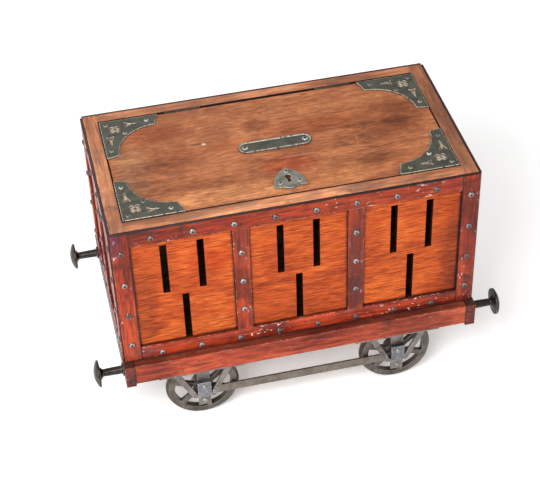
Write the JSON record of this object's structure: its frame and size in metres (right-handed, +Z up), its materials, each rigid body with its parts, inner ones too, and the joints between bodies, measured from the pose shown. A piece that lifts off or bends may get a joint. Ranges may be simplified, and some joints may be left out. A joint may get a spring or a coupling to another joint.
{
  "type": "novelty cigar box goods van",
  "caption": "Lidded wooden box shaped as a four-wheel railway goods van, with a hinged lockable lid, turned buffers and rolling spoked wheelsets.",
  "frame": {"origin": "on the floor, under the middle of the van, at the height of the lowest points of the wheels", "axes": "+X along the van towards its right end, +Z up, -Y towards the lock side; the lid's hinges are on the +Y side"},
  "size_m": [0.2972, 0.148, 0.1878],
  "materials": {
    "brass_dark": "patinated",
    "brass_inner": "dull",
    "brass_pin": "worn",
    "buffer_bronze": "patinated",
    "iron_dark": "gunmetal",
    "nail_steel": "worn",
    "nickel": "worn nickel plate",
    "steel_bright": "worn bright",
    "steel_worn": "worn",
    "wood_end": "varnished oak",
    "wood_frame": "dark varnished oak",
    "wood_head": "dark varnished oak",
    "wood_inner": "plain",
    "wood_panel": "varnished oak",
    "wood_sole": "varnished oak",
    "wood_top": "worn matt oak"
  },
  "bodies": {
    "box": {"axle_guard_back_left": "iron_dark", "axle_guard_back_right": "iron_dark", "axle_guard_front_left": "iron_dark", "axle_guard_front_right": "iron_dark", "axleboxes": "steel_bright", "back_panel": "wood_panel", "back_posts": "wood_frame", "back_rails": "wood_frame", "base_board": "wood_inner", "buffers_left": "buffer_bronze", "buffers_right": "buffer_bronze", "end_nails": "nail_steel", "front_panel": "wood_panel", "front_posts": "wood_frame", "front_rails": "wood_frame", "guard_rivets": "steel_worn", "guard_screws": "steel_worn", "headstock_left": "wood_head", "headstock_right": "wood_head", "hinge_leaf_rim_left": "brass_inner", "hinge_leaf_rim_right": "brass_inner", "hinge_pins": "brass_inner", "hinge_screws_rim": "brass_inner", "left_end_strips": "wood_frame", "left_panel": "wood_end", "lid_stop_front": "wood_inner", "lid_stops": "wood_inner", "lock_strike": "brass_inner", "right_end_strips": "wood_frame", "right_panel": "wood_end", "rim_back": "wood_top", "rim_front": "wood_top", "rim_left": "wood_top", "rim_right": "wood_top", "side_nails": "nail_steel", "solebar_back": "wood_sole", "solebar_front": "wood_sole", "tie_bar_back": "iron_dark", "tie_bar_front": "iron_dark"},
    "lid": {"corner_plate_back_left": "brass_dark", "corner_plate_back_right": "brass_dark", "corner_plate_front_left": "brass_dark", "corner_plate_front_right": "brass_dark", "hinge_leaf_lid_left": "brass_inner", "hinge_leaf_lid_right": "brass_inner", "lid_board": "wood_top", "fitting_pins": "brass_pin", "name_plate": "brass_dark", "name_plate_screws": "brass_pin", "escutcheon": "nickel", "lid_screws": "brass_inner", "lock_case": "brass_inner", "lock_cap": "brass_inner"},
    "bolt": {"lock_bolt": "brass_inner"},
    "wheelset_left": {"axle_left": "steel_worn", "wheel_front_left": "iron_dark", "wheel_back_left": "iron_dark"},
    "wheelset_right": {"axle_right": "steel_worn", "wheel_front_right": "iron_dark", "wheel_back_right": "iron_dark"}
  },
  "joints": [
    {"name": "lid_hinge", "type": "hinge", "parent": "box", "child": "lid", "pos_m": [0, 0.0561, 0.18535], "axis": [-1, 0, 0], "range_deg": [0, 94]},
    {"name": "lock_bolt_slide", "type": "slide", "parent": "lid", "child": "bolt", "axis": [0, -1, 0], "range_m": [0, 0.004]},
    {"name": "left_wheelset_spin", "type": "hinge", "parent": "box", "child": "wheelset_left", "pos_m": [-0.0721, 0, 0.0269], "axis": [0, 1, 0], "continuous": true},
    {"name": "right_wheelset_spin", "type": "hinge", "parent": "box", "child": "wheelset_right", "pos_m": [0.0721, 0, 0.0269], "axis": [0, 1, 0], "continuous": true}
  ]
}
